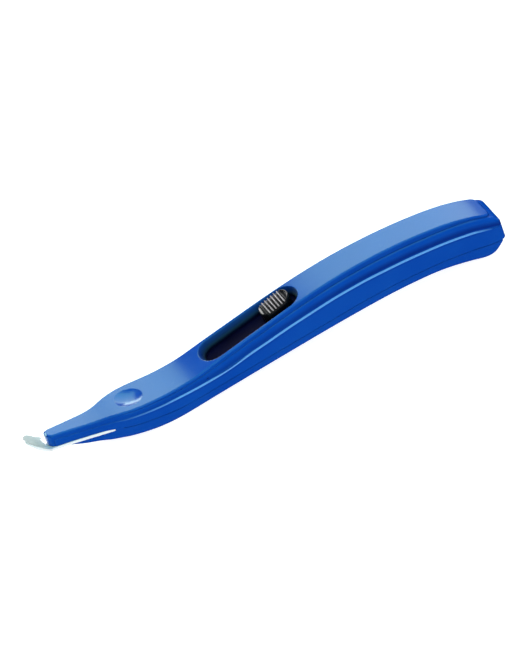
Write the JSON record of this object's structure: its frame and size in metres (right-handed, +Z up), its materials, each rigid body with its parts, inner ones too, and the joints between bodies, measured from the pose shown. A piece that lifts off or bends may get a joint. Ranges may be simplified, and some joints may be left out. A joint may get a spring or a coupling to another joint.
{
  "type": "staple remover",
  "caption": "Stick staple remover with an S-curved blue plastic housing, a scooped polished steel blade at the nose and a black ribbed thumb slider in a sloping slot.",
  "frame": {"origin": "middle of the footprint, on the surface that the tool lies on", "axes": "+X from the blade's tip towards the rear of the handle, +Y to the tool's far side, +Z up from the surface through the raised panel"},
  "size_m": [0.171, 0.0164, 0.021],
  "materials": {
    "blue_plastic": "satin-gloss injection-moulded ABS",
    "polished_steel": "polished, nickel-plated spring steel",
    "black_plastic": "satin moulded plastic",
    "slide_plastic": "matt low-friction plastic",
    "magnet_metal": "nickel-plated magnet bar"
  },
  "bodies": {
    "housing": {"upper_shell": "blue_plastic", "lower_shell": "blue_plastic", "lifting_blade": "polished_steel"},
    "slider": {"thumb_slider": "black_plastic", "magnet_carrier": "slide_plastic", "magnet": "magnet_metal"}
  },
  "joints": [
    {"name": "slider_travel", "type": "slide", "parent": "housing", "child": "slider", "axis": [-0.9829, 0, -0.184], "range_m": [0, 0.02]}
  ]
}
